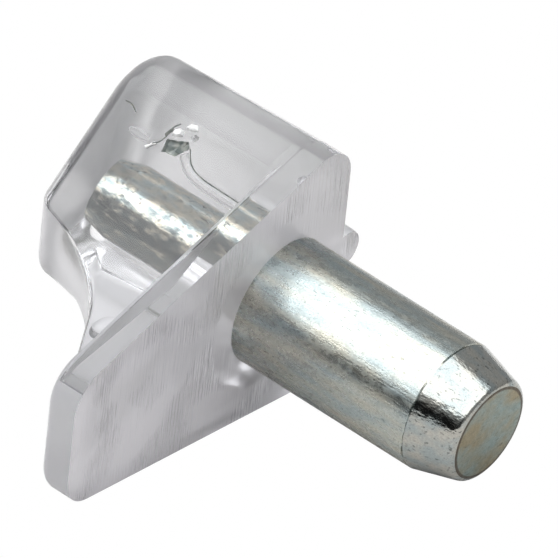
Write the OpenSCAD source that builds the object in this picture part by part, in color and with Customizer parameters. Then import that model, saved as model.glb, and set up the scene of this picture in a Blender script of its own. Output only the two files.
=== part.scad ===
// Shelf support pin: a zinc-plated steel pin with a clear plastic body moulded round it.
// Origin on the pin's axis, at the face of the plate that lies on the cabinet side.
// +X runs along the pin into the cabinet side, +Z is up towards the shelf. Millimetres.

/* [Steel pin] */
// Diameter of the shank that goes into the cabinet side
pin_d = 5; // [4:0.1:6]
// How far the pin stands out of the plate
pin_out = 9.7; // [7:0.05:14]
// Length of the cone at the tip
tip_len = 1.9; // [1:0.1:3]
// Diameter of the flat tip
tip_d = 3.95; // [3:0.05:4.2]
// Rounding of the edge round the flat tip
tip_edge_r = 0.3; // [0.1:0.05:0.4]
// Diameter of the thinner shank inside the plastic
core_d = 3; // [2.4:0.1:3.4]
// Depth of the thinner shank's end behind the wall face
core_depth = 7.3; // [5:0.1:7.5]
// Length over which the thinner shank tapers at its end
core_taper = 1; // [0.3:0.1:1.5]
// Diameter of that end
core_end_d = 2.5; // [2:0.1:2.9]
// How far the thick shank is let into the wall face
shank_sink = 0.1; // [0.05:0.01:0.15]

/* [Back plate] */
// Thickness of the plate
plate_t = 1.35; // [1.2:0.05:2]
// Rounding of the plate's rear edge
plate_edge_r = 0.45; // [0.2:0.05:0.6]
// Width of the plate at the seat
plate_top_w = 11.4; // [10.5:0.1:12.5]
// Width of the plate at its foot
plate_foot_w = 5.5; // [4.5:0.1:7]
// Height of the whole plate
plate_h = 14.7; // [13.6:0.1:17]
// Height of the seat over the pin's axis
seat_z = 3.5; // [3.2:0.1:4]
// Radius of the two corners at the seat
seat_corner_r = 1.5; // [0.8:0.1:1.8]
// Radius of the two corners at the foot
foot_corner_r = 1.5; // [0.4:0.1:1.6]

/* [Seat block] */
// Depth of the block from the wall face to its free end
block_depth = 8.7; // [8:0.1:11]
// Height over the pin's axis at which the sides turn inwards
kink_z = 0.6; // [0:0.1:1]
// Slant of the lower sides, from upright
slant = 38.5; // [34:0.5:42]
// Draft of the sides towards the free end, in degrees
draft = 2.6; // [0.6:0.2:3]
// Soft rounding where the sides turn inwards
kink_r = 1.6; // [0.6:0.1:2]
// Rounding round the free end
end_r = 1.05; // [0.5:0.05:1.3]
// Rounding along the bottom edges
bottom_edge_r = 0.35; // [0.2:0.05:0.5]

/* [Gusset web] */
// Thickness of the web where it leaves the plate
web_t = 2.6; // [2:0.1:2.8]
// Draft of the web's two faces towards the free end, in degrees
web_draft = 5; // [2:0.5:6]
// Depth of the block's bottom below the axis at its free end
rear_drop = 3.25; // [3:0.05:4]
// Slope of the block's bottom, in degrees
bottom_slope = 12.5; // [8:0.5:16]
// Slope of the web's lower stretch, in degrees
web_slope = 60; // [54:1:64]
// Radius of the hollow bend between the two slopes
bend_r = 6.5; // [4:0.1:7.5]
// Height of the plate's foot left clear below the web
foot_clear = 1.15; // [0.6:0.05:1.6]
// Fillet between the slanted sides and the web
web_fillet_r = 0.6; // [0.3:0.1:0.9]

/* [Seat bead] */
// Radius of the round bead in the middle of the seat's edge
bead_r = 0.78; // [0.5:0.02:0.95]
// Length of the bead back from the wall face
bead_len = 1.9; // [1.6:0.1:3]
// Height of the bead's centre over the seat
bead_lift = 0.2; // [0:0.05:0.3]
// How far the bead's round front end would stand out of the wall face if it weren't cut flush
bead_proud = 0.55; // [0.1:0.05:0.65]

/* [Gate scar] */
// Depth of the scar that the torn-off moulding gate left in one slanted side
scar_depth = 0.14; // [0.08:0.02:0.3]
// Length of the scar along the block
scar_len = 1.5; // [0.8:0.1:2]
// Width of the scar down the slanted side
scar_w = 1.25; // [0.8:0.05:1.5]
// Distance of the scar's middle behind the wall face
scar_back = 4.9; // [3.5:0.1:6]
// Distance of the scar's middle below the kink
scar_drop = 1.1; // [0.9:0.05:1.6]

/* [Hidden] */
mould_gap = 0.01;      // room between steel and plastic, so that the solids only touch
root_sink = plate_edge_r + 0.1;   // how far the block reaches into the plate
root_inset = 0.02;     // keeps the block's root just inside the plate's edge
cut_over = 1;          // how far a cut runs past the face it starts from
edge_use = 0.96;       // share of an edge that the arcs at its two ends may take together
straight_spread = 0.1; // length that the points of a corner with no angle are spread over
corner_loss = 0.5;     // share of an inset that a rounded corner's radius loses
root_run = 0.3;        // stretch of the block just behind the plate
axis_facets = 96;      // facets round the pin, the bead and each corner, and sections of the block
bead_facets = 48;
corner_facets = 8;
plate_facets = 10;
edge_steps = 4;
run_steps = 16;
end_steps = 6;

foot_z = seat_z - plate_h;
side_lean = atan((plate_top_w - plate_foot_w) / 2 / plate_h);

// ---- Plane geometry ----

function unit(v) = v / norm(v);

// Crossing of two lines, each given as [point, direction]
function meet(a, b) =
    let (w = b[0] - a[0], k = a[1][0] * b[1][1] - a[1][1] * b[1][0])
    a[0] + a[1] * (w[0] * b[1][1] - w[1] * b[1][0]) / k;

// Half the angle between the edges at p
function half_angle(before, p, after) =
    acos(max(-1, min(1, unit(before - p) * unit(after - p)))) / 2;

// Arc of n + 1 points that starts a distance t before the corner at p and ends t after it; a
// corner that is almost straight gets the same number of points spread along it
function corner_arc(before, p, after, t, n) =
    let (a = unit(before - p), b = unit(after - p), half = half_angle(before, p, after))
    half > 88
        ? [for (i = [0:n]) p + (b - a) * straight_spread * (i / n - 0.5)]
        : let (
            c = p + unit(a + b) * t / cos(half),
            from = p + a * t - c,
            turn = -sign(a[0] * b[1] - a[1] * b[0]) * (180 - 2 * half))
          [for (i = [0:n]) let (g = turn * i / n)
            c + [from[0] * cos(g) - from[1] * sin(g), from[0] * sin(g) + from[1] * cos(g)]];

// Outline with every corner rounded; where two arcs want more than their edge, both give way
function rounded(points, radii, n) =
    let (
        k = len(points),
        wish = [for (i = [0:k - 1])
            radii[i] / tan(half_angle(points[(i + k - 1) % k], points[i], points[(i + 1) % k]))],
        share = [for (i = [0:k - 1]) let (j = (i + 1) % k)
            min(1, edge_use * norm(points[j] - points[i]) / (wish[i] + wish[j]))])
    [for (i = [0:k - 1])
        each corner_arc(points[(i + k - 1) % k], points[i], points[(i + 1) % k],
                        wish[i] * min(share[i], share[(i + k - 1) % k]), n)];

// ---- Block and web, as sections across the pin's axis ----

// Corner of the bottom line, where the two slopes would cross, as [depth, drop below the axis]
web_foot = [plate_t, -foot_z - foot_clear];
bend_corner = meet([[block_depth, rear_drop], [-cos(bottom_slope), sin(bottom_slope)]],
                   [web_foot, [cos(web_slope), -sin(web_slope)]]);
bend_reach = bend_r * tan((web_slope - bottom_slope) / 2);
bend_rear = bend_corner + bend_reach * [cos(bottom_slope), -sin(bottom_slope)];
bend_front = bend_corner + bend_reach * [-cos(web_slope), sin(web_slope)];
bend_centre = bend_rear + bend_r * [sin(bottom_slope), cos(bottom_slope)];

// Drop of the bottom line below the axis at one depth: slope, hollow bend, slope
function bottom_drop(depth) =
    depth >= bend_rear[0] ? bend_rear[1] - (depth - bend_rear[0]) * tan(bottom_slope)
    : depth <= bend_front[0] ? bend_front[1] + (bend_front[0] - depth) * tan(web_slope)
    : bend_centre[1] - sqrt(bend_r * bend_r - pow(depth - bend_centre[0], 2));

// How far the draft has drawn the sides in at one depth
function draft_in(depth) = root_inset + (depth - plate_t + root_sink) * tan(draft);

// Half the web's thickness at one depth
function web_half(depth) = web_t / 2 - (depth - plate_t) * tan(web_draft);

// Corner where the sides turn inwards, before any draft
kink = [plate_top_w / 2 - (seat_z - kink_z) * tan(side_lean), kink_z];

// Section at one depth, drawn in by inset all round
function block_section(depth, inset) =
    let (
        sunk = draft_in(depth) + inset,
        lean = [-sin(side_lean), -cos(side_lean)],
        run = [-sin(slant), -cos(slant)],
        top = seat_z - inset,
        low = inset - bottom_drop(depth),
        side_line = [[plate_top_w / 2, seat_z] + sunk * [-cos(side_lean), sin(side_lean)], lean],
        slant_line = [kink + sunk * [-cos(slant), sin(slant)], run],
        half_t = web_half(depth),
        web_top = meet(slant_line, [[half_t, 0], [0, 1]])[1],
        neck_z = max(web_top, low + 2 * bottom_edge_r),
        neck = meet(slant_line, [[0, neck_z], [1, 0]]),
        low_end = low > web_top ? meet(slant_line, [[0, low], [1, 0]]) : [half_t, low],
        right = [meet([[0, top], [1, 0]], side_line), meet(side_line, slant_line), neck, low_end],
        radii = [seat_corner_r - inset * corner_loss, kink_r, web_fillet_r, bottom_edge_r])
    rounded(
        concat(right, [for (i = [3:-1:0]) [-right[i][0], right[i][1]]]),
        concat(radii, [for (i = [3:-1:0]) radii[i]]), corner_facets);

// Sections as [depth, inset]: the root in the plate, the straight run, the rounding at the end
run_start = plate_t + root_run;
run_end = block_depth - end_r;
stations = concat(
    [[plate_t - root_sink, 0]],
    [for (i = [0:run_steps - 1]) [run_start + (run_end - run_start) * i / run_steps, 0]],
    [for (i = [0:end_steps]) let (g = 90 * i / end_steps)
        [block_depth - end_r * (1 - sin(g)), end_r * (1 - cos(g))]]);

// Skins a row of sections that all have the same number of points
module loft(sections) {
    n = len(sections[0]);
    last = len(sections) - 1;
    polyhedron(
        points = [for (s = sections) each s],
        faces = concat(
            [[for (i = [0:n - 1]) i]],
            [for (j = [0:last - 1], i = [0:n - 1]) let (k = (i + 1) % n)
                each [[j * n + i, (j + 1) * n + i, (j + 1) * n + k],
                      [j * n + i, (j + 1) * n + k, j * n + k]]],
            [[for (i = [n - 1:-1:0]) last * n + i]]));
}

module seat_block() {
    loft([for (s = stations) [for (p = block_section(s[0], s[1])) [-s[0], p[0], p[1]]]]);
}

// Outline of the plate, drawn in by inset all round
function plate_section(inset) =
    let (
        lean = inset / cos(side_lean),
        top_y = plate_top_w / 2 - lean - inset * tan(side_lean),
        foot_y = plate_foot_w / 2 - lean + inset * tan(side_lean),
        seat_r = seat_corner_r - inset * corner_loss,
        foot_r = foot_corner_r - inset * corner_loss)
    rounded([[top_y, seat_z - inset], [foot_y, foot_z + inset],
             [-foot_y, foot_z + inset], [-top_y, seat_z - inset]],
            [seat_r, foot_r, foot_r, seat_r], plate_facets);

module back_plate() {
    edge = [for (i = [0:edge_steps]) let (g = 90 * i / edge_steps)
        [plate_t - plate_edge_r * (1 - sin(g)), plate_edge_r * (1 - cos(g))]];
    loft([for (s = concat([[0, 0]], edge)) [for (p = plate_section(s[1])) [-s[0], p[0], p[1]]]]);
}

// Round bead on the seat with upright sides below its centre, cut flush with the wall face
module seat_bead() {
    front = bead_r - bead_proud;
    rear = bead_len - bead_r;
    foot = bead_lift + bead_r;
    intersection() {
        translate([0, 0, seat_z + bead_lift]) {
            for (depth = [front, rear]) translate([-depth, 0, 0]) {
                sphere(bead_r, $fn = bead_facets);
                translate([0, 0, -foot]) cylinder(h = foot, r = bead_r, $fn = bead_facets);
            }
            translate([-rear, 0, 0]) rotate([0, 90, 0])
                cylinder(h = rear - front, r = bead_r, $fn = bead_facets);
            translate([-rear, -bead_r, -foot]) cube([rear - front, 2 * bead_r, foot]);
        }
        translate([-bead_len - cut_over, -bead_r - cut_over, seat_z - bead_r])
            cube([bead_len + cut_over, 2 * (bead_r + cut_over), 3 * bead_r]);
    }
}

// Ragged outline of the gate scar, as shares of its length and width
scar_outline = [[-0.63, -0.5], [-0.2, -0.16], [-0.08, -0.4], [0.28, -0.3],
                [0.37, 0.08], [0.2, 0.5], [-0.07, 0.34], [-0.28, 0.05]];

module gate_scar() {
    sunk = draft_in(scar_back);
    y = kink[0] - sunk * cos(slant) - scar_drop * sin(slant);
    z = kink[1] + sunk * sin(slant) - scar_drop * cos(slant);
    translate([-scar_back, -y, z]) rotate([90 + slant, 0, 0])
        translate([0, 0, -scar_depth]) linear_extrude(scar_depth + cut_over)
            polygon([for (p = scar_outline) [p[0] * scar_len, p[1] * scar_w]]);
}

// Half section of the pin's moulded-in part as [radius, x], grown by the room left round it
function moulded_in_profile(room) =
    [[0, -core_depth - room], [core_end_d / 2 + room, -core_depth - room],
     [core_d / 2 + room, core_taper - core_depth], [core_d / 2 + room, -shank_sink - room],
     [pin_d / 2 + room, -shank_sink - room]];

// Space that the steel takes up in the moulding
module pin_socket() {
    rotate([0, 90, 0])
        rotate_extrude($fn = axis_facets)
            polygon(concat(moulded_in_profile(mould_gap),
                           [[pin_d / 2 + mould_gap, cut_over], [0, cut_over]]));
}

module clear_body() {
    color([0.78, 0.77, 0.81, 0.45])
        difference() {
            union() {
                back_plate();
                seat_block();
                seat_bead();
            }
            pin_socket();
            gate_scar();
        }
}

// Half section of the pin as [radius, x], from the embedded end to the tip
function pin_profile() =
    let (
        sharp = [tip_d / 2, pin_out],
        back = [pin_d / 2, pin_out - tip_len],
        reach = tip_edge_r / tan(half_angle(back, sharp, [0, pin_out])),
        edge = corner_arc(back, sharp, [0, pin_out], reach, edge_steps))
    concat(moulded_in_profile(0), [back], edge, [[0, pin_out]]);

module steel_pin() {
    color([0.66, 0.68, 0.67])
        rotate([0, 90, 0]) rotate_extrude($fn = axis_facets) polygon(pin_profile());
}

steel_pin();
clear_body();
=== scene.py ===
import math
import bmesh
import bpy
from mathutils import Matrix, Vector, noise


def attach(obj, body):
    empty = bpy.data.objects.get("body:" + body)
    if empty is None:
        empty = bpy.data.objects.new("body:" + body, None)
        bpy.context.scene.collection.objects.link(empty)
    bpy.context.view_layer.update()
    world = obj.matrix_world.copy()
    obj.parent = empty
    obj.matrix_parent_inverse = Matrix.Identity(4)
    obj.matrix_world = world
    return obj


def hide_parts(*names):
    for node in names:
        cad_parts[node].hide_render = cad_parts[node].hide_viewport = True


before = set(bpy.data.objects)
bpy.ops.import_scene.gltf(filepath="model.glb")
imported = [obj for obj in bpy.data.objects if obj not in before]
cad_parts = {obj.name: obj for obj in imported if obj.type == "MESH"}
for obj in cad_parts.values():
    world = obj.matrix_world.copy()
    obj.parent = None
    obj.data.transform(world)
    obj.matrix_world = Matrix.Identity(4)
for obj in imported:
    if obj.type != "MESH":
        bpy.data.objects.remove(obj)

mm = 0.001
noise.seed_set(1)          # without it the torn edges would differ from run to run
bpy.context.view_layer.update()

# The part lies on its side as it would on a table: on the pin's tip and the plate's +Y edge.
tableSetup = {
    "up": (-0.287, -0.939, 0.188),  # straight up from the table, in the part's own axes
    "size": 400.0,         # in mm
    "gap": 0.03,           # left under the part's lowest point, in mm
    "color": "#cccac8",
    "roughness": 0.9,
    "shownThrough": 0.3,   # share of plain white in the paper that shows through the plastic
}

# Turns are in degrees, lengths in mm.
cameraSetup = {
    "azimuth": 33.32,
    "elevation": -37.06,
    "roll": 53.71,
    "lens": 1500.0,        # long, so that the view is almost parallel
    "sensor": 36.0,
    "viewWidth": 19.6,     # what the frame takes in at the part
    "aimRight": 0.047,     # from the part's origin to the middle of the view
    "aimUp": 0.74,
}


def linearColor(hexText):
    parts = [int(hexText[i:i + 2], 16) / 255 for i in (1, 3, 5)]
    return [p / 12.92 if p <= 0.04045 else ((p + 0.055) / 1.055) ** 2.4 for p in parts] + [1.0]


# Settings go to the node's own properties or, by name or number, to its sockets.
def addNode(tree, kind, settings=None, links=None):
    node = tree.nodes.new(kind)
    for name, value in (settings or {}).items():
        if name in node.bl_rna.properties.keys():
            setattr(node, name, value)
        else:
            node.inputs[name].default_value = value
    for name, source in (links or {}).items():
        tree.links.new(getattr(source, "outputs", [source])[0], node.inputs[name])
    return node


def placeCamera(setup):
    azimuth = math.radians(setup["azimuth"])
    elevation = math.radians(setup["elevation"])
    roll = math.radians(setup["roll"])
    back = Vector((math.sin(azimuth) * math.cos(elevation),
                   -math.cos(azimuth) * math.cos(elevation), math.sin(elevation)))
    level = Vector((math.cos(azimuth), math.sin(azimuth), 0))
    right = level * math.cos(roll) + back.cross(level) * math.sin(roll)
    up = back.cross(right)
    data = bpy.data.cameras.new("camera")
    data.lens = setup["lens"]
    data.sensor_width = setup["sensor"]
    distance = setup["viewWidth"] * setup["lens"] / data.sensor_width * mm
    data.clip_start = distance * 0.5
    data.clip_end = distance * 2
    camera = bpy.data.objects.new("camera", data)
    bpy.context.collection.objects.link(camera)
    aim = (right * setup["aimRight"] + up * setup["aimUp"]) * mm
    axes = Matrix((right, up, back)).transposed().to_4x4()
    camera.matrix_world = Matrix.Translation(aim + back * distance) @ axes
    bpy.context.scene.camera = camera
    return right, back


cameraRight, cameraBack = placeCamera(cameraSetup)
print("camera placed")

# A pale room with an overhead soft box and one dark side. Turns are in degrees; the box's own
# sizes are shares of its height over the part, and heights are sines of the angle over the table.
studioLight = {
    "color": "#fdfeff",
    "boxStrength": 2.5,
    "boxTurn": 35.0,       # about the upright
    "boxMiddle": (-0.65, 0.1),
    "boxHalf": (1.02, 1.5),
    "boxEdge": 0.12,       # its edges fade over this much to either side
    "boxLow": (0.1, 0.3),  # it fades out between these heights
    "horizon": 0.42,       # strength of the room's light at the table's level
    "ceiling": 0.5,        # and from the height where the ceiling starts
    "ceilingStart": 0.75,
    "darkTurn": -31.0,     # from the camera's side of the room to the dark side
    "darkReach": (0.5, 1.0),        # cosines of the turns where the dark starts and is full
    "darkTop": (0.28, 0.42),        # it ends between these heights
    "darkDepth": 0.97,     # share of the room's light that is missing there
}
levelShare = 1.01          # a shade over 1, so that nothing is divided by zero straight up
lowestHeight = 0.05        # nor at the table's level

tableUp = Vector(tableSetup["up"]).normalized()
studioFront = (cameraBack - tableUp * cameraBack.dot(tableUp)).normalized()
studioRight = studioFront.cross(tableUp)
if studioRight.dot(cameraRight) < 0:
    studioRight.negate()


def buildWorld(light):
    world = bpy.data.worlds.new("studio")
    bpy.context.scene.world = world
    world.use_nodes = True
    tree = world.node_tree
    tree.nodes.clear()
    turn = math.radians(light["boxTurn"])
    darkTurn = math.radians(light["darkTurn"])
    headings = {
        "up": tableUp,
        "across": studioRight * math.sin(turn) - studioFront * math.cos(turn),
        "along": studioRight * math.cos(turn) + studioFront * math.sin(turn),
        "dark": studioFront * math.cos(darkTurn) + studioRight * math.sin(darkTurn),
    }
    ray = addNode(tree, "ShaderNodeTexCoord").outputs["Generated"]
    toward = {name: addNode(tree, "ShaderNodeVectorMath", {"operation": "DOT_PRODUCT", 1: axis},
                            {0: ray}).outputs["Value"] for name, axis in headings.items()}

    height = addNode(tree, "ShaderNodeMath", {"operation": "MAXIMUM", 1: lowestHeight},
                     {0: toward["up"]})
    mask = addNode(tree, "ShaderNodeMapRange", {
        "interpolation_type": "SMOOTHSTEP", "From Min": light["boxLow"][0],
        "From Max": light["boxLow"][1]}, {"Value": toward["up"]})
    for name, middle, half in zip(("across", "along"), light["boxMiddle"], light["boxHalf"]):
        place = addNode(tree, "ShaderNodeMath", {"operation": "DIVIDE"}, {0: toward[name], 1: height})
        offset = addNode(tree, "ShaderNodeMath", {"operation": "SUBTRACT", 1: middle}, {0: place})
        reach = addNode(tree, "ShaderNodeMath", {"operation": "ABSOLUTE"}, {0: offset})
        inside = addNode(tree, "ShaderNodeMapRange", {
            "interpolation_type": "SMOOTHSTEP", "From Min": half - light["boxEdge"],
            "From Max": half + light["boxEdge"], "To Min": 1.0, "To Max": 0.0}, {"Value": reach})
        mask = addNode(tree, "ShaderNodeMath", {"operation": "MULTIPLY"}, {0: mask, 1: inside})
    box = addNode(tree, "ShaderNodeMath", {"operation": "MULTIPLY", 1: light["boxStrength"]}, {0: mask})

    slant = addNode(tree, "ShaderNodeMath", {"operation": "MULTIPLY"},
                    {0: toward["up"], 1: toward["up"]})
    flat = addNode(tree, "ShaderNodeMath", {"operation": "SUBTRACT", 0: levelShare}, {1: slant})
    level = addNode(tree, "ShaderNodeMath", {"operation": "SQRT"}, {0: flat})
    facing = addNode(tree, "ShaderNodeMath", {"operation": "DIVIDE"}, {0: toward["dark"], 1: level})
    side = addNode(tree, "ShaderNodeMapRange", {
        "interpolation_type": "SMOOTHSTEP", "From Min": light["darkReach"][0],
        "From Max": light["darkReach"][1]}, {"Value": facing})
    low = addNode(tree, "ShaderNodeMapRange", {
        "interpolation_type": "SMOOTHSTEP", "From Min": light["darkTop"][0],
        "From Max": light["darkTop"][1], "To Min": light["darkDepth"], "To Max": 0.0},
        {"Value": toward["up"]})
    dark = addNode(tree, "ShaderNodeMath", {"operation": "MULTIPLY"}, {0: side, 1: low})
    lit = addNode(tree, "ShaderNodeMath", {"operation": "SUBTRACT", 0: 1.0}, {1: dark})

    room = addNode(tree, "ShaderNodeMapRange", {
        "interpolation_type": "SMOOTHSTEP", "From Min": 0.0, "From Max": light["ceilingStart"],
        "To Min": light["horizon"], "To Max": light["ceiling"]}, {"Value": toward["up"]})
    shaded = addNode(tree, "ShaderNodeMath", {"operation": "MULTIPLY"}, {0: room, 1: lit})
    total = addNode(tree, "ShaderNodeMath", {"operation": "ADD"}, {0: shaded, 1: box})
    studio = addNode(tree, "ShaderNodeBackground", {"Color": linearColor(light["color"])},
                     {"Strength": total})
    white = addNode(tree, "ShaderNodeBackground", {"Color": (1, 1, 1, 1), "Strength": 1.0})
    path = addNode(tree, "ShaderNodeLightPath")
    mix = addNode(tree, "ShaderNodeMixShader", {},
                  {0: path.outputs["Is Camera Ray"], 1: studio, 2: white})
    addNode(tree, "ShaderNodeOutputWorld", {}, {"Surface": mix})


buildWorld(studioLight)
bpy.context.scene.view_settings.view_transform = "Standard"
print("studio built")


# Where the line through p along d meets the line through q along e.
def crossing(p, d, q, e):
    k = d.x * e.y - d.y * e.x
    w = q - p
    return p + d * ((w.x * e.y - w.y * e.x) / k)


def halfAngle(before, p, after):
    return (before - p).angle(after - p) / 2


straightHalf = 88          # half angle, in degrees, from which a corner counts as straight
straightSpread = 0.1       # length that the points of such a corner are spread over, in mm


# An arc that rounds the corner at p; it touches the sides at reach from p.
def cornerArc(before, p, after, reach, steps):
    a = (before - p).normalized()
    b = (after - p).normalized()
    half = halfAngle(before, p, after)
    if half > math.radians(straightHalf):
        return [p + (b - a) * straightSpread * (i / steps - 0.5) for i in range(steps + 1)]
    centre = p + (a + b).normalized() * reach / math.cos(half)
    start = p + a * reach - centre
    turn = -math.copysign(math.pi - 2 * half, a.x * b.y - a.y * b.x)
    points = []
    for i in range(steps + 1):
        g = turn * i / steps
        points.append(centre + Vector((start.x * math.cos(g) - start.y * math.sin(g),
                                       start.x * math.sin(g) + start.y * math.cos(g))))
    return points


edgeUse = 0.96             # share of an edge that the arcs at its two ends may take together


# A closed outline with rounded corners, always with the same number of points.
def roundedOutline(corners, radii, steps, divisions):
    count = len(corners)
    before = [corners[i - 1] for i in range(count)]
    after = [corners[(i + 1) % count] for i in range(count)]
    wish = [radii[i] / math.tan(halfAngle(before[i], corners[i], after[i])) for i in range(count)]
    share = [min(1, edgeUse * (after[i] - corners[i]).length / (wish[i] + wish[(i + 1) % count]))
             for i in range(count)]
    arcs = [cornerArc(before[i], corners[i], after[i], wish[i] * min(share[i], share[i - 1]), steps)
            for i in range(count)]
    outline = []
    for i, arc in enumerate(arcs):
        outline += arc
        nextStart = arcs[(i + 1) % count][0]
        outline += [arc[-1].lerp(nextStart, k / divisions) for k in range(1, divisions)]
    return outline


# Lengths are in mm, angles in degrees.
clearBody = {
    "plateThickness": 1.35,
    "plateRearEdge": 0.45,
    "plateTopWidth": 11.4,
    "plateFootWidth": 5.5,
    "plateHeight": 14.7,
    "seatHeight": 3.5,     # over the pin's axis
    "seatCorner": 1.5,
    "footCorner": 1.5,
    "cornerLoss": 0.5,     # share of an inset that a corner's radius loses
    "blockDepth": 8.7,
    "kinkHeight": 0.6,     # over the pin's axis, where the block's sides turn inwards
    "slant": 38.5,         # of the lower sides, from the upright
    "draft": 2.6,
    "kinkRounding": 1.6,
    "endRounding": 1.05,
    "bottomRounding": 0.35,
    "rootSink": 0.55,      # the block starts this deep in the plate
    "rootInset": 0.02,     # and this far inside the plate's outline
    "webThickness": 2.6,   # at the plate
    "webDraft": 5.0,
    "webFillet": 0.6,
    "rearDrop": 3.25,      # from the pin's axis down to the block's rear bottom edge
    "bottomSlope": 12.5,
    "webSlope": 60.0,
    "bendRadius": 6.5,
    "footClear": 1.15,     # from the plate's foot up to the web's
    "alongSteps": 44,
    "endSteps": 12,
    "cornerSteps": 14,
    "edgeDivisions": 4,
    "smoothUnder": 25,     # edges that turn by less are shaded smooth
}


# The moulded body's own curves, the same as the solid's.
class BodyShape:
    def __init__(self, size):
        self.size = size
        self.footZ = size["seatHeight"] - size["plateHeight"]
        self.lean = math.atan((size["plateTopWidth"] - size["plateFootWidth"]) / 2 / size["plateHeight"])
        self.slant = math.radians(size["slant"])
        self.slope = math.radians(size["bottomSlope"])
        self.steep = math.radians(size["webSlope"])
        corner = crossing(
            Vector((size["blockDepth"], size["rearDrop"])),
            Vector((-math.cos(self.slope), math.sin(self.slope))),
            Vector((size["plateThickness"], -self.footZ - size["footClear"])),
            Vector((math.cos(self.steep), -math.sin(self.steep))))

        radius = size["bendRadius"]
        reach = radius * math.tan((self.steep - self.slope) / 2)
        self.bendRear = corner + reach * Vector((math.cos(self.slope), -math.sin(self.slope)))
        self.bendFront = corner + reach * Vector((-math.cos(self.steep), math.sin(self.steep)))
        self.bendCentre = self.bendRear + radius * Vector((math.sin(self.slope), math.cos(self.slope)))
        self.kink = Vector((size["plateTopWidth"] / 2
                            - (size["seatHeight"] - size["kinkHeight"]) * math.tan(self.lean),
                            size["kinkHeight"]))

    # How far the draft has drawn the sides in at a depth behind the wall face
    def drawnIn(self, depth):
        size = self.size
        run = depth - size["plateThickness"] + size["rootSink"]
        return size["rootInset"] + run * math.tan(math.radians(size["draft"]))

    def webHalf(self, depth):
        size = self.size
        run = depth - size["plateThickness"]
        return size["webThickness"] / 2 - run * math.tan(math.radians(size["webDraft"]))

    # How far the block's and web's bottom edge lies under the pin's axis at a depth
    def bottomDrop(self, depth):
        if depth >= self.bendRear.x:
            return self.bendRear.y - (depth - self.bendRear.x) * math.tan(self.slope)
        if depth <= self.bendFront.x:
            return self.bendFront.y + (self.bendFront.x - depth) * math.tan(self.steep)
        across = depth - self.bendCentre.x
        return self.bendCentre.y - math.sqrt(self.size["bendRadius"] ** 2 - across ** 2)

    # A place on the slanted side at -Y: behind the wall face, down from the kink, out of the side
    def onSlant(self, behind, down, rise):
        sunk = self.drawnIn(behind) - rise
        p = (self.kink + sunk * Vector((-math.cos(self.slant), math.sin(self.slant)))
             - down * Vector((math.sin(self.slant), math.cos(self.slant))))
        return Vector((-behind, -p.x, p.y))

    def blockOutline(self, depth, inset):
        size = self.size
        sunk = self.drawnIn(depth) + inset
        lean = Vector((-math.sin(self.lean), -math.cos(self.lean)))
        run = Vector((-math.sin(self.slant), -math.cos(self.slant)))
        low = inset - self.bottomDrop(depth)
        sideStart = Vector((size["plateTopWidth"] / 2, size["seatHeight"])) + sunk * Vector(
            (-math.cos(self.lean), math.sin(self.lean)))
        slantStart = self.kink + sunk * Vector((-math.cos(self.slant), math.sin(self.slant)))
        level = Vector((1, 0))
        webHalf = self.webHalf(depth)
        webTop = crossing(slantStart, run, Vector((webHalf, 0)), Vector((0, 1))).y
        neckZ = max(webTop, low + 2 * size["bottomRounding"])
        neck = crossing(slantStart, run, Vector((0, neckZ)), level)
        lowEnd = (crossing(slantStart, run, Vector((0, low)), level) if low > webTop
                  else Vector((webHalf, low)))
        right = [crossing(Vector((0, size["seatHeight"] - inset)), level, sideStart, lean),
                 crossing(sideStart, lean, slantStart, run), neck, lowEnd]
        left = [Vector((-p.x, p.y)) for p in reversed(right)]
        radii = [size["seatCorner"] - inset * size["cornerLoss"], size["kinkRounding"],
                 size["webFillet"], size["bottomRounding"]]
        return roundedOutline(right + left, radii + radii[::-1], size["cornerSteps"],
                              size["edgeDivisions"])

    def blockRings(self):
        size = self.size
        front = size["plateThickness"] - size["rootSink"]
        rear = size["blockDepth"] - size["endRounding"]
        steps = size["alongSteps"]
        stations = [(front + (rear - front) * i / steps, 0.0) for i in range(steps)]
        for i in range(size["endSteps"] + 1):
            g = math.pi / 2 * i / size["endSteps"]
            stations.append((rear + size["endRounding"] * math.sin(g),
                             size["endRounding"] * (1 - math.cos(g))))
        return [[Vector((-depth, p.x, p.y)) for p in self.blockOutline(depth, inset)]
                for depth, inset in stations]

    def plateRings(self):
        size = self.size
        sections = [(0.0, 0.0)]
        for i in range(size["endSteps"] + 1):
            g = math.pi / 2 * i / size["endSteps"]
            sections.append((size["plateThickness"] - size["plateRearEdge"] * (1 - math.sin(g)),
                             size["plateRearEdge"] * (1 - math.cos(g))))
        rings = []
        for depth, inset in sections:
            sideways = inset / math.cos(self.lean)
            topY = size["plateTopWidth"] / 2 - sideways - inset * math.tan(self.lean)
            footY = size["plateFootWidth"] / 2 - sideways + inset * math.tan(self.lean)
            topZ = size["seatHeight"] - inset
            lowZ = self.footZ + inset
            corners = [Vector((topY, topZ)), Vector((footY, lowZ)), Vector((-footY, lowZ)),
                       Vector((-topY, topZ))]
            seat = size["seatCorner"] - inset * size["cornerLoss"]
            foot = size["footCorner"] - inset * size["cornerLoss"]
            outline = roundedOutline(corners, [seat, foot, foot, seat], size["cornerSteps"],
                                     size["edgeDivisions"])
            rings.append([Vector((-depth, p.x, p.y)) for p in outline])
        return rings


def makeObject(name, points, faces):
    mesh = bpy.data.meshes.new(name)
    mesh.from_pydata([p * mm for p in points], [], faces)
    mesh.validate()
    work = bmesh.new()
    work.from_mesh(mesh)
    bmesh.ops.recalc_face_normals(work, faces=work.faces)
    work.to_mesh(mesh)
    work.free()
    piece = bpy.data.objects.new(name, mesh)
    bpy.context.collection.objects.link(piece)
    return piece


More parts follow.
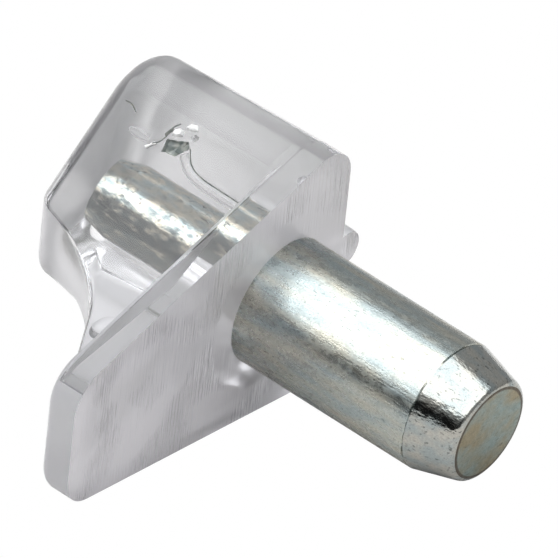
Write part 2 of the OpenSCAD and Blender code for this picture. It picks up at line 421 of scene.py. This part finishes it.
# Skins a row of rings that have the same number of points, and closes both ends.
def loft(name, rings):
    count = len(rings[0])
    points = [p for ring in rings for p in ring]
    faces = [list(range(count))]
    for j in range(len(rings) - 1):
        for i in range(count):
            k = (i + 1) % count
            faces.append([j * count + i, (j + 1) * count + i, (j + 1) * count + k, j * count + k])
    last = (len(rings) - 1) * count
    faces.append([last + i for i in reversed(range(count))])
    return makeObject(name, points, faces)


# A turned solid about the pin's axis; the profile runs from one end on the axis to the other.
def lathe(name, profile, steps):
    turned = [[Vector((x, radius * math.cos(2 * math.pi * i / steps),
                       radius * math.sin(2 * math.pi * i / steps))) for i in range(steps)]
              for x, radius in profile[1:-1]]
    return loft(name, turned)


sliverWidth = 0.003        # in mm
flatSliverWidth = 0.0005


# Each cut leaves slivers that would shade as scratches.
def mergeSlivers(piece):
    work = bmesh.new()
    work.from_mesh(piece.data)
    bmesh.ops.remove_doubles(work, verts=work.verts, dist=sliverWidth * mm)
    bmesh.ops.dissolve_degenerate(work, edges=work.edges, dist=sliverWidth * mm)
    work.to_mesh(piece.data)
    work.free()


def combine(base, other, operation):
    modifier = base.modifiers.new(operation.lower(), "BOOLEAN")
    modifier.operation = operation
    modifier.solver = "EXACT"
    modifier.material_mode = "TRANSFER"
    modifier.object = other
    depsgraph = bpy.context.evaluated_depsgraph_get()
    mesh = bpy.data.meshes.new_from_object(base.evaluated_get(depsgraph))
    base.modifiers.clear()
    base.data = mesh
    bpy.data.objects.remove(other)
    mergeSlivers(base)


# Faces with more than four corners are split here, so that the mesh stays closed wherever it goes.
def splitLargeFaces(piece):
    work = bmesh.new()
    work.from_mesh(piece.data)
    for dissolved in (False, True):
        if dissolved:
            bmesh.ops.dissolve_degenerate(work, edges=work.edges, dist=flatSliverWidth * mm)
        bmesh.ops.triangulate(work, faces=[f for f in work.faces if len(f.verts) > 4],
                              quad_method="BEAUTY", ngon_method="BEAUTY")
    work.to_mesh(piece.data)
    work.free()


# Shades curved stretches smooth and keeps flat faces flat up to their edges.
def smoothByAngle(piece, degrees):
    mesh = piece.data
    mesh.polygons.foreach_set("use_smooth", [True] * len(mesh.polygons))
    mesh.set_sharp_from_angle(angle=math.radians(degrees))
    weighted = piece.modifiers.new("flatFacesStayFlat", "WEIGHTED_NORMAL")
    weighted.keep_sharp = True
    weighted.weight = 100


# The small bead on the middle of the seat's front edge, in mm.
seatBead = {
    "radius": 0.78,
    "length": 1.9,
    "lift": 0.2,           # height of its upright sides over the seat
    "proud": 0.55,         # stands out of the wall face by this much before it is cut flush
    "trimBox": ((0.0, -2, 2), (2, 2, 6)),
    "rootDepth": 0.5,      # its foot lies this deep under the seat
    "roundSteps": 36,
    "domeSteps": 20,
}


def beadRings(size, seatZ):
    radius = size["radius"]
    ends = (radius - size["proud"], size["length"] - radius)
    centreZ = seatZ + size["lift"]
    levels = [(1.0, seatZ - size["rootDepth"])]
    for i in range(size["domeSteps"]):
        g = math.pi / 2 * i / size["domeSteps"]
        levels.append((math.cos(g), centreZ + radius * math.sin(g)))
    rings = []
    for share, z in levels:
        ring = []
        for depth, start in zip(ends, (-math.pi / 2, math.pi / 2)):
            for i in range(size["roundSteps"] + 1):
                g = start + math.pi * i / size["roundSteps"]
                ring.append(Vector((-depth + radius * share * math.cos(g),
                                    radius * share * math.sin(g), z)))
        rings.append(ring)
    return rings


# A plain box, only to cut with.
def slab(name, low, high):
    return loft(name, [[Vector((x, low[1], low[2])), Vector((x, high[1], low[2])),
                        Vector((x, high[1], high[2])), Vector((x, low[1], high[2]))]
                       for x in (low[0], high[0])])


# Lengths are in mm.
steelPin = {
    "diameter": 5.0,
    "standsOut": 9.7,
    "coneLength": 1.9,
    "tipDiameter": 3.95,
    "tipEdge": 0.3,
    "coreDiameter": 3.0,   # the thinner shank in the plastic
    "coreDepth": 7.3,
    "coreTaper": 1.0,
    "coreEndDiameter": 2.5,
    "shankSink": 0.1,      # the full shank starts this far behind the wall face
    "rollMark": (0.04, 0.09),       # half width and greatest depth of the crack where the cone begins
    "rollMarkWander": 0.045,        # how far it wanders along the pin
    "rollMarkBumps": 9,             # noise bumps of that wander to a radius
    "rollMarkPatches": 1.6,         # and of its coming and going round the pin
    "rollMarkPatchStart": (0.4, 0.2, 0),
    "rollMarkContrast": 1.6,
    "socketBite": 0.01,    # the plastic shrinks on to the steel, so no air shows between them
    "socketMouth": 1.0,    # the socket's cutter stands out of the wall face
    "steps": 192,
    "tipSteps": 8,
    "smoothUnder": 12,     # edges that turn by less, in degrees, are shaded smooth
}


# The pin's half section behind the wall face; a bite makes it that much smaller all round.
def mouldedInProfile(size, bite):
    core = size["coreDiameter"] / 2 - bite
    end = size["coreEndDiameter"] / 2 - bite
    radius = size["diameter"] / 2 - bite
    return [(bite - size["coreDepth"], 0.0), (bite - size["coreDepth"], end),
            (size["coreTaper"] - size["coreDepth"], core), (bite - size["shankSink"], core),
            (bite - size["shankSink"], radius)]


def pinProfile(size):
    radius = size["diameter"] / 2
    shoulder = Vector((size["standsOut"] - size["coneLength"], radius))
    tip = Vector((size["standsOut"], size["tipDiameter"] / 2))
    middle = Vector((size["standsOut"], 0))
    reach = size["tipEdge"] / math.tan(halfAngle(shoulder, tip, middle))
    half, deep = size["rollMark"]
    points = mouldedInProfile(size, 0.0)
    points += [(shoulder.x - half, radius), (shoulder.x, radius - deep),
               tuple(shoulder + (tip - shoulder).normalized() * half)]
    points += [tuple(p) for p in cornerArc(shoulder, tip, middle, reach, size["tipSteps"])]
    points.append((size["standsOut"], 0.0))
    return points


# The crack comes and goes round the pin and wanders a little along it.
def wearRollMark(pin, size):
    radius = size["diameter"] / 2
    start = size["standsOut"] - size["coneLength"]
    half, deep = size["rollMark"]
    for vertex in pin.data.vertices:
        x, y, z = vertex.co / mm
        now = math.hypot(y, z)
        if abs(x - start) > half / 2 or now > radius - deep / 2:
            continue
        around = Vector((y, z, 0)) / radius
        patch = noise.noise(around * size["rollMarkPatches"] + Vector(size["rollMarkPatchStart"]))
        keep = min(1, max(0, 0.5 + size["rollMarkContrast"] * patch))
        wanted = radius - deep * keep
        shift = size["rollMarkWander"] * noise.noise(around * size["rollMarkBumps"])
        vertex.co = Vector((x + shift, y * wanted / now, z * wanted / now)) * mm


# What the torn-off moulding gate left on the slanted side: places are (behind the wall face,
# down from the kink), in mm. Levels are (rise, share of the outline, unevenness).
gateScar = {
    "pit": [(5.43, 1.12), (5.2, 1.05), (4.9, 0.94), (4.62, 0.82), (4.46, 0.95), (4.52, 1.15),
            (4.66, 1.36), (4.78, 1.54), (5.05, 1.57), (5.33, 1.6), (5.4, 1.38)],
    "pitLevels": ((0.3, 1.0, 0.0), (-0.02, 0.98, 0.02), (-0.17, 0.86, 0.14), (-0.22, 0.4, 0.14)),
    "chips": (
        [(5.42, 0.98), (5.4, 0.66), (5.2, 0.5), (4.98, 0.56), (4.9, 0.76), (5.1, 0.93)],
        [(5.12, 0.46), (4.95, 0.2), (4.66, 0.12), (4.5, 0.3), (4.66, 0.48), (4.9, 0.5)],
        [(4.72, 0.62), (4.52, 0.42), (4.36, 0.52), (4.38, 0.7), (4.58, 0.76)]),
    "chipLevels": ((-0.1, 0.84, 0.0), (0.03, 0.8, 0.03), (0.13, 0.5, 0.1), (0.16, 0.2, 0.06)),
    "cracks": (            # width, depth and path
        (0.05, 0.1, [(5.8, 1.55), (5.6, 1.32), (5.5, 1.04), (5.47, 0.7), (5.3, 0.44)]),
        (0.13, 0.22, [(5.56, 1.06), (5.5, 0.88), (5.43, 0.72)]),
        (0.04, 0.07, [(4.44, 1.0), (4.24, 1.24), (4.04, 1.45), (3.68, 1.61), (3.16, 1.69), (2.4, 1.71),
                     (1.3, 1.73)]),
        (0.05, 0.1, [(7.68, 0.75), (7.41, 0.73), (7.2, 0.83), (7.05, 0.91)]),
        (0.06, 0.08, [(1.45, 1.05), (1.3, 0.76)])),
    "crackOver": 0.1,      # the cracks' cutters reach this far out of the side
    "crackSteps": 3,
    "rib": [(4.5, 1.3), (4.12, 1.6), (3.72, 1.79), (3.19, 1.88), (2.47, 1.9), (1.2, 1.92)],
    "ribWidth": 0.36,
    "ribRise": 0.09,
    "ribSink": 0.1,
    "ribSteps": 6,
    "ribRoundSteps": 10,
    "flake": [(6.02, 1.78), (5.94, 1.82), (5.66, 1.47), (5.74, 1.42)],
    "flakeLevels": ((-0.08, 1.0, 0.0), (0.04, 0.95, 0.02), (0.07, 0.6, 0.03)),
    "blister": (6.45, 1.5),
    "blisterSize": (0.5, 0.17, 0.05),
    "bumps": 6.0,          # noise bumps to the mm on torn plastic
    "edgeBumps": 9.0,      # and along its edges
    "edgeRagged": 0.05,    # the edges wander by up to this much
    "edgeDivisions": 4,
}


# A smooth curve through the points.
def smoothPath(points, steps):
    path = []
    last = len(points) - 1
    for i in range(last):
        a, b = Vector(points[max(i - 1, 0)]), Vector(points[i])
        c, d = Vector(points[i + 1]), Vector(points[min(i + 2, last)])
        for k in range(steps):
            t = k / steps
            path.append(0.5 * (2 * b + (c - a) * t + (2 * a - 5 * b + 4 * c - d) * t ** 2
                               + (3 * b - 3 * c + d - a) * t ** 3))
    path.append(Vector(points[last]))
    return path


# Sweeps a section of (sideways, rise) points along a path on the slanted side.
def sweepOnSlant(name, shape, path, section):
    rings = []
    for i, p in enumerate(path):
        ahead = (path[min(i + 1, len(path) - 1)] - path[max(i - 1, 0)]).normalized()
        aside = Vector((-ahead.y, ahead.x))
        rings.append([shape.onSlant(*(p + aside * sideways), rise) for sideways, rise in section])
    return loft(name, rings)


def halfRound(width, rise, sink, steps):
    arc = [(-width / 2 * math.cos(math.pi * i / steps), rise * math.sin(math.pi * i / steps))
           for i in range(steps + 1)]
    return arc + [(width / 2, -sink), (-width / 2, -sink)]


def groove(width, depth, over):
    return [(-width / 2, over), (-width / 2, 0.0), (0.0, -depth), (width / 2, 0.0), (width / 2, over)]


# A torn lump or pit with ragged edges: rings of one outline at several levels.
def patchOnSlant(name, shape, scar, corners, levels):
    outline = []
    for i, p in enumerate(corners):
        for k in range(scar["edgeDivisions"]):
            place = Vector(p).lerp(Vector(corners[(i + 1) % len(corners)]), k / scar["edgeDivisions"])
            wander = noise.noise_vector(Vector((place.x, place.y, 0.7)) * scar["edgeBumps"])
            outline.append(place + wander.to_2d() * scar["edgeRagged"])
    middle = sum(outline, Vector((0, 0))) / len(outline)
    rings = []
    for rise, share, uneven in levels:
        ring = []
        for p in outline:
            place = middle + (p - middle) * share
            bump = noise.noise(Vector((place.x, place.y, rise)) * scar["bumps"])
            ring.append(shape.onSlant(*place, rise + uneven * bump))
        rings.append(ring)
    return loft(name, rings)


def ellipsoid(name, centre, axes, steps=32):
    rings = []
    for j in range(1, steps // 2):
        tilt = math.pi * j / (steps // 2)
        rings.append([centre + axes[0] * math.cos(tilt)
                      + math.sin(tilt) * (axes[1] * math.cos(2 * math.pi * i / steps)
                                          + axes[2] * math.sin(2 * math.pi * i / steps))
                      for i in range(steps)])
    return loft(name, rings)


# The lump that the ejector left where the web's foot runs out on the plate, in mm.
footLump = {
    "centre": (-2.5, -1.1, -6.55),
    "half": (0.5, 0.4, 0.7),
}


def newMaterial(name):
    material = bpy.data.materials.new(name)
    material.use_nodes = True
    tree = material.node_tree
    tree.nodes.clear()
    shader = addNode(tree, "ShaderNodeBsdfPrincipled")
    addNode(tree, "ShaderNodeOutputMaterial", {}, {"Surface": shader})
    return material, tree, shader


# Polycarbonate as moulded: almost colourless, and grey where the light goes a long way through it.
clearPlastic = {
    "ior": 1.58,
    "depthColor": "#babac0",
    "depthDensity": 12.0,  # to the metre
}

# Colour, roughness and share of the light that goes through, for each way its surface was made.
plasticFinishes = {
    # Glass-clear and shiny: the shank and the table show sharply through it.
    "polished": ("clear polycarbonate, polished mould face", "#f4f4f6", 0.05, 0.985),
    # A fine haze that blurs what lies behind it.
    "satin": ("clear polycarbonate, satin mould face", "#f2f2f5", 0.36, 0.8),
    # Between the two: handling has dulled the sides beside the seat.
    "worn": ("clear polycarbonate, worn mould face", "#f4f4f6", 0.2, 0.95),
    # Milky and a little cream-coloured. The cream is painted light that stands in for the beige table
    # seen through the bead.
    "tableTinted": ("clear polycarbonate, bead tinted by painted table light", "#e4e0d4", 0.3, 0.7),
    # Nearly white, where tearing has filled it with tiny cracks.
    "whitened": ("clear polycarbonate, whitened by stress", "#f8f8f8", 0.35, 0.3),
    # Dull grey-green: the rough break's own tone, darkened as painted shade that stands for the dark pin
    # mirrored in the pit and the dark air gaps of the cracks.
    "torn": ("clear polycarbonate, torn gate in painted shade", "#8d958f", 0.35, 0.35),
    # Slightly milky, with fine lines that break up what shows through it.
    "ground": ("clear polycarbonate, ground mould face", "#edebf0", 0.14, 0.57),
}


def mouldedClearPlastic(name, color, roughness, transmission):
    material, tree, shader = newMaterial(name)
    depth = addNode(tree, "ShaderNodeVolumeAbsorption", {
        "Color": linearColor(clearPlastic["depthColor"]), "Density": clearPlastic["depthDensity"]})
    tree.links.new(depth.outputs[0], tree.nodes["Material Output"].inputs["Volume"])
    shader.inputs["Base Color"].default_value = linearColor(color)
    shader.inputs["Roughness"].default_value = roughness
    shader.inputs["IOR"].default_value = clearPlastic["ior"]
    shader.inputs["Transmission Weight"].default_value = transmission
    return material


tornCrumbs = {
    "size": 0.25,          # in mm
    "share": (0.4, 0.65),  # where in the pattern they turn from dull to pale
    "dull": "#737d7b",
    "pale": "#b9bcb5",
}


# Torn plastic in crumbs. Some are whitened and some are dull grey-green, and the grey-green ones carry
# the painted shade of the pit and the cracks.
def mottleTorn(material, crumbs):
    tree = material.node_tree
    place = addNode(tree, "ShaderNodeTexCoord").outputs["Object"]
    spread = addNode(tree, "ShaderNodeTexNoise", {"Scale": 1 / (crumbs["size"] * mm), "Detail": 2.0},
                     {"Vector": place})
    share = addNode(tree, "ShaderNodeMapRange", {
        "From Min": crumbs["share"][0], "From Max": crumbs["share"][1]}, {"Value": spread})
    tone = addNode(tree, "ShaderNodeMix", {
        "data_type": "RGBA", 6: linearColor(crumbs["dull"]), 7: linearColor(crumbs["pale"])},
        {0: share})
    tree.links.new(tone.outputs[2], tree.nodes["Principled BSDF"].inputs["Base Color"])


groundLines = {
    "sets": ((0.1, 2.6, 3.0), (0.33, 1.6, 2.0)),    # spacing and length in mm, and fineness
    "ring": (3.4, 3.7),    # the lines set in between these radii round the pin, in mm
    "ringStrength": 0.1,   # what is left of them inside
    "patch": 2.2,          # size of the patches where they are deeper, in mm
    "patchShare": (0.46, 0.62),
    "patchStrength": (0.6, 5.0),
    "depth": 0.04,         # in mm, at a strength of 1
}


# Lines from the mould's grinding run from side to side on the wall face, deeper in some patches
# than in others, and a smooth ring lies round the pin.
def grindFace(material, lines):
    tree = material.node_tree
    place = addNode(tree, "ShaderNodeTexCoord").outputs["Object"]
    heights = []
    for spacing, length, detail in lines["sets"]:
        scaled = addNode(tree, "ShaderNodeMapping", {
            "Scale": (1 / mm, 1 / (length * mm), 1 / (spacing * mm))}, {"Vector": place})
        heights.append(addNode(tree, "ShaderNodeTexNoise", {"Scale": 1.0, "Detail": detail},
                               {"Vector": scaled}))
    height = addNode(tree, "ShaderNodeMath", {"operation": "ADD"}, {0: heights[0], 1: heights[1]})
    flat = addNode(tree, "ShaderNodeVectorMath", {"operation": "MULTIPLY", 1: (0, 1, 1)}, {0: place})
    radius = addNode(tree, "ShaderNodeVectorMath", {"operation": "LENGTH"}, {0: flat})
    outside = addNode(tree, "ShaderNodeMapRange", {
        "interpolation_type": "SMOOTHSTEP", "From Min": lines["ring"][0] * mm,
        "From Max": lines["ring"][1] * mm, "To Min": lines["ringStrength"], "To Max": 1.0},
        {"Value": radius.outputs["Value"]})
    patches = addNode(tree, "ShaderNodeTexNoise", {"Scale": 1 / (lines["patch"] * mm), "Detail": 1.0},
                      {"Vector": place})
    worn = addNode(tree, "ShaderNodeMapRange", {
        "From Min": lines["patchShare"][0], "From Max": lines["patchShare"][1],
        "To Min": lines["patchStrength"][0], "To Max": lines["patchStrength"][1]},
        {"Value": patches})
    strength = addNode(tree, "ShaderNodeMath", {"operation": "MULTIPLY"}, {0: outside, 1: worn})
    bump = addNode(tree, "ShaderNodeBump", {"Distance": lines["depth"] * mm},
                   {"Height": height, "Strength": strength})
    tree.links.new(bump.outputs[0], tree.nodes["Principled BSDF"].inputs["Normal"])


# Patterns that all the steel finishes share: size along and across the pin, in mm, and fineness.
# The grain is drawn coarser than the real crystals of zinc, which are too fine to show.
steelPatterns = {
    "grain": ((0.07, 0.05, 0.05), 2.0),
    "dents": ((0.4, 0.22, 0.22), 3.0),
    "streaks": ((2.2, 0.09, 0.09), 3.0),
}
steelShares = {            # where in a pattern each effect begins and is full
    "clouds": (0.38, 0.62),
    "specks": (0.6, 0.72),
    "dents": (0.35, 0.65),
    "grain": (0.3, 0.7),
}
grainTone = (0.84, 1.1)    # the grain darkens and lightens the colour by this much
rimRadius = (1.71, 1.75)   # in mm, where the painted shade at the rim of the sheared end begins and is full
underShadeEdge = (-0.75, -1.45)  # heights in mm between which the painted shade on the core's underside fades in
underShadeRagged = 1.1           # its edge wanders up and down by up to this much


# Drawn steel bar with a skin of zinc: a soft metallic shine with blue-grey and straw-grey clouds,
# fine dents that glitter, dark specks, and scratches along the bar.
def steelFinish(name, look):
    material, tree, shader = newMaterial(name)
    place = addNode(tree, "ShaderNodeTexCoord").outputs["Object"]
    noises = {}
    patterns = {"clouds": (look["clouds"], 5.0), "specks": (look["specks"], 2.0), **steelPatterns}
    for key, (size, detail) in patterns.items():
        scaled = addNode(tree, "ShaderNodeMapping", {"Scale": [1 / (length * mm) for length in size]},
                         {"Vector": place})
        noises[key] = addNode(tree, "ShaderNodeTexNoise", {"Scale": 1.0, "Detail": detail},
                              {"Vector": scaled})
    cloudy, spotted, dull, speckled = [
        addNode(tree, "ShaderNodeMapRange", {
            "From Min": steelShares[key][0], "From Max": steelShares[key][1],
            "To Min": start, "To Max": end}, {"Value": noises[key]})
        for key, start, end in (("clouds", 0.0, 1.0), ("specks", 0.0, look["spotted"]),
                                ("dents", *look["roughness"]), ("grain", *grainTone))]
    tint = addNode(tree, "ShaderNodeMix", {
        "data_type": "RGBA", 6: linearColor(look["cool"]), 7: linearColor(look["warm"])},
        {0: cloudy})

    across = addNode(tree, "ShaderNodeVectorMath", {"operation": "MULTIPLY", 1: (0, 1, 1)}, {0: place})
    radius = addNode(tree, "ShaderNodeVectorMath", {"operation": "LENGTH"}, {0: across})
    # Painted shade: the sheared end is darkened at its rim, and the dark specks are mixed in with it.
    rim = addNode(tree, "ShaderNodeMapRange", {
        "From Min": rimRadius[0] * mm, "From Max": rimRadius[1] * mm, "To Max": look["rimShade"]},
        {"Value": radius.outputs["Value"]})
    specksAndRimShade = addNode(tree, "ShaderNodeMath", {"operation": "MAXIMUM"}, {0: spotted, 1: rim})
    # Painted shade: the core's underside is darkened towards the bottom, and the edge of that darkening
    # is ragged.
    height = addNode(tree, "ShaderNodeSeparateXYZ", {}, {0: place})
    ragged = addNode(tree, "ShaderNodeMapRange", {
        "To Min": -underShadeRagged * mm, "To Max": underShadeRagged * mm}, {"Value": noises["clouds"]})
    edge = addNode(tree, "ShaderNodeMath", {"operation": "ADD"}, {0: height.outputs["Z"], 1: ragged})
    underShade = addNode(tree, "ShaderNodeMapRange", {
        "interpolation_type": "SMOOTHSTEP", "From Min": underShadeEdge[0] * mm,
        "From Max": underShadeEdge[1] * mm, "To Max": look["underShade"]}, {"Value": edge})
    specksAndShade = addNode(tree, "ShaderNodeMath", {"operation": "MAXIMUM"}, {0: specksAndRimShade, 1: underShade})
    color = addNode(tree, "ShaderNodeMix", {"data_type": "RGBA", 7: linearColor(look["dirtAndShade"])},
                    {0: specksAndShade, 6: tint.outputs[2]})
    grainy = addNode(tree, "ShaderNodeVectorMath", {"operation": "SCALE"},
                     {0: color.outputs[2], "Scale": speckled})
    tree.links.new(grainy.outputs[0], shader.inputs["Base Color"])
    shader.inputs["Metallic"].default_value = 1.0
    tree.links.new(dull.outputs[0], shader.inputs["Roughness"])

    normal = None
    for key in ("dents", "grain", "streaks"):
        links = {"Height": noises[key]}
        if normal:
            links["Normal"] = normal
        normal = addNode(tree, "ShaderNodeBump", {"Strength": 1.0, "Distance": look[key] * mm}, links)
    tree.links.new(normal.outputs[0], shader.inputs["Normal"])
    return material


plastic = {key: mouldedClearPlastic(*finish) for key, finish in plasticFinishes.items()}
mottleTorn(plastic["torn"], tornCrumbs)
grindFace(plastic["ground"], groundLines)
print("plastic finishes made")


def buildBead(size):
    bead = loft("bead", beadRings(size, clearBody["seatHeight"]))
    combine(bead, slab("trim", *size["trimBox"]), "DIFFERENCE")
    # The bead's cream tint is painted light from the table that shows through it.
    bead.data.materials.append(plastic["tableTinted"])
    return bead


def buildLump(size):
    axes = [Vector([half if i == j else 0 for j in range(3)]) for i, half in enumerate(size["half"])]
    return ellipsoid("footLump", Vector(size["centre"]), axes)


# Returns what stands out of the side and what is cut out of it.
def buildScar(shape, scar):
    pit = patchOnSlant("pit", shape, scar, scar["pit"], scar["pitLevels"])
    chips = [patchOnSlant("chip", shape, scar, outline, scar["chipLevels"])
             for outline in scar["chips"]]
    flake = patchOnSlant("flake", shape, scar, scar["flake"], scar["flakeLevels"])
    cracks = [sweepOnSlant("crack", shape, smoothPath(path, scar["crackSteps"]),
                           groove(width, depth, scar["crackOver"]))
              for width, depth, path in scar["cracks"]]
    for piece in [flake] + chips[:2]:
        piece.data.materials.append(plastic["whitened"])
    # Painted shade: the pit and the cracks take the dark torn finish.
    for piece in [pit] + cracks:
        piece.data.materials.append(plastic["torn"])
    rib = sweepOnSlant("rib", shape, smoothPath(scar["rib"], scar["ribSteps"]),
                       halfRound(scar["ribWidth"], scar["ribRise"], scar["ribSink"],
                                 scar["ribRoundSteps"]))
    long, wide, high = scar["blisterSize"]
    outward = Vector((0, -math.cos(shape.slant), -math.sin(shape.slant)))
    down = Vector((0, math.sin(shape.slant), -math.cos(shape.slant)))
    blister = ellipsoid("blister", shape.onSlant(*scar["blister"], 0.0),
                        [Vector((long, 0, 0)), outward * high, down * wide])
    return [rib, blister, flake] + chips, cracks + [pit]


def buildSocket(size):
    bite = size["socketBite"]
    mouth = size["socketMouth"]
    profile = mouldedInProfile(size, bite)
    profile += [(mouth, size["diameter"] / 2 - bite), (mouth, 0.0)]
    return lathe("socket", profile, size["steps"])


# Lengths in mm; the rest are shares of a face's direction.
mouldFaces = {
    "wallFaceDepth": 0.001,
    "wallFaceTurned": 0.99,
    "webZone": 1.5,        # the plate's edge stays satin this near the middle, at the web
    "edgeUpright": 0.9,    # the plate's edge stands this upright and is turned outwards this much
    "edgeOutward": 0.6,
    "rearDepth": 0.1,      # this much at the rear end stays satin
    "sideOutward": 0.3,    # a side of the block is turned outwards this much
    "slantDownward": 0.45,          # and the slanted one downwards this much
}


# Each stretch has the finish of the mould's face behind it: ground at the wall, polished on the
# plate's edges and the slanted sides, worn on the upper sides, and satin on all the rest.
def finishFaces(body, size, faces):
    first = len(body.data.materials)
    for key in ("ground", "polished", "worn"):
        body.data.materials.append(plastic[key])
    ground, polished, worn = range(first, first + 3)
    roundingStart = size["endRounding"] - size["blockDepth"]
    rearStart = faces["rearDepth"] - size["blockDepth"]
    for face in body.data.polygons:
        if face.material_index != 0:
            continue
        x, y, z = face.center / mm
        upright = max(math.hypot(face.normal.y, face.normal.z), 0.001)
        outward = face.normal.y * math.copysign(1, y) / upright
        downward = -face.normal.z / upright
        if face.normal.x > faces["wallFaceTurned"] and abs(x) < faces["wallFaceDepth"]:
            face.material_index = ground
        elif x > -size["plateThickness"]:
            if (abs(y) > faces["webZone"] and outward > faces["edgeOutward"]
                    and upright > faces["edgeUpright"]):
                face.material_index = polished
        elif x > rearStart and outward > faces["sideOutward"]:
            if x < roundingStart or downward > faces["slantDownward"]:
                face.material_index = polished
            elif z > 0:
                face.material_index = worn


def buildBody(size):
    shape = BodyShape(size)
    body = loft("clearPlasticBody", shape.blockRings())
    body.data.materials.append(plastic["satin"])
    plate = loft("plate", shape.plateRings())
    plate.data.materials.append(plastic["satin"])
    bead = buildBead(seatBead)
    lump = buildLump(footLump)
    added, removed = buildScar(shape, gateScar)
    for piece in [plate, bead, lump] + added:
        combine(body, piece, "UNION")
    for piece in removed + [buildSocket(steelPin)]:
        combine(body, piece, "DIFFERENCE")
    splitLargeFaces(body)
    smoothByAngle(body, size["smoothUnder"])
    finishFaces(body, size, mouldFaces)
    return body


body = buildBody(clearBody)
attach(body, "root")
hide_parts("clear_body")
print("clear body built:", len(body.data.polygons), "faces")

# Clouds and specks are sizes in mm, and dents, grain and streaks are depths in mm. Spotted is how far
# dark specks cover the steel, the rim and underside shares say how far painted shade darkens the sheared
# end's rim and the core's underside, and roughness runs from smooth to dull patches.
pinLooks = (
    # Tumbling leaves it softly shining and cloudy, with scratches along the bar.
    ("zinc-plated steel, tumbled shank", {
        "cool": "#a0aaaa", "warm": "#b6b5aa", "dirtAndShade": "#4a4f4b", "clouds": (2.4, 0.55, 0.55),
        "specks": (0.2, 0.08, 0.08), "spotted": 0.4, "rimShade": 0.0, "underShade": 0.0,
        "roughness": (0.2, 0.34), "dents": 0.006, "grain": 0.006, "streaks": 0.006}),
    # Rolling has pressed it bright and left dents that mirror light and dark in flecks.
    ("zinc-plated steel, rolled cone", {
        "cool": "#98a0a0", "warm": "#abaaa3", "dirtAndShade": "#3c403f", "clouds": (0.9, 0.5, 0.5),
        "specks": (0.2, 0.1, 0.1), "spotted": 0.7, "rimShade": 0.0, "underShade": 0.0,
        "roughness": (0.06, 0.16), "dents": 0.014, "grain": 0.002, "streaks": 0.004}),
    # Shearing tears it matt and brownish, and its rim is darkened as painted shade.
    ("zinc-plated steel, sheared end", {
        "cool": "#869491", "warm": "#918972", "dirtAndShade": "#4f463d", "clouds": (1.0, 1.1, 1.4),
        "specks": (0.1, 0.1, 0.3), "spotted": 0.5, "rimShade": 0.85, "underShade": 0.0,
        "roughness": (0.35, 0.5), "dents": 0.02, "grain": 0.006, "streaks": 0.0}),
    # The drawn bar under the plastic: its tones are lighter than the shank's as a painted brightening,
    # so that its highlight stays bright through the plastic, and its underside is darkened as painted
    # shade.
    ("drawn steel, core under the plastic", {
        "cool": "#a9b8b8", "warm": "#d0c9b6", "dirtAndShade": "#2b3332", "clouds": (0.5, 0.22, 0.22),
        "specks": (0.22, 0.16, 0.16), "spotted": 0.9, "rimShade": 0.0, "underShade": 0.85,
        "roughness": (0.12, 0.26), "dents": 0.01, "grain": 0.004, "streaks": 0.004}),
)
endTurned = 0.93           # faces beyond the cone's start that look along the pin by this share


def buildPin(size):
    pin = lathe("steelPin", pinProfile(size), size["steps"])
    wearRollMark(pin, size)
    smoothByAngle(pin, size["smoothUnder"])
    for name, look in pinLooks:
        pin.data.materials.append(steelFinish(name, look))
    shank, cone, end, core = range(len(pinLooks))
    for face in pin.data.polygons:
        if face.center.x > (size["standsOut"] - size["coneLength"]) * mm:
            face.material_index = end if face.normal.x > endTurned else cone
        elif face.center.x < -size["shankSink"] * mm:
            face.material_index = core
        else:
            face.material_index = shank
    return pin


pin = buildPin(steelPin)
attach(pin, "root")
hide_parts("steel_pin")
print("steel pin built:", len(pin.data.polygons), "faces")


# Matt paper laid under the part: it throws an even light back and has no shine.
def buildTable(setup):
    lowest = min(tableUp.dot(v.co) for piece in (body, pin) for v in piece.data.vertices)
    half = setup["size"] / 2
    side = tableUp.cross(studioFront)
    middle = tableUp * (lowest / mm - setup["gap"])
    corners = [middle + side * half * a + studioFront * half * b
               for a, b in ((-1, -1), (1, -1), (1, 1), (-1, 1))]
    table = makeObject("table", corners, [[0, 1, 2, 3]])
    material, tree, shader = newMaterial("matt paper")
    shader.inputs["Base Color"].default_value = linearColor(setup["color"])
    shader.inputs["Roughness"].default_value = setup["roughness"]
    path = addNode(tree, "ShaderNodeLightPath")
    share = addNode(tree, "ShaderNodeMath", {"operation": "MULTIPLY", 1: setup["shownThrough"]},
                    {0: path.outputs["Is Transmission Ray"]})
    white = addNode(tree, "ShaderNodeEmission", {"Strength": 1.0})
    mix = addNode(tree, "ShaderNodeMixShader", {}, {0: share, 1: shader, 2: white})
    tree.links.new(mix.outputs[0], tree.nodes["Material Output"].inputs["Surface"])
    table.data.materials.append(material)
    table.visible_camera = False


buildTable(tableSetup)
print("table laid")
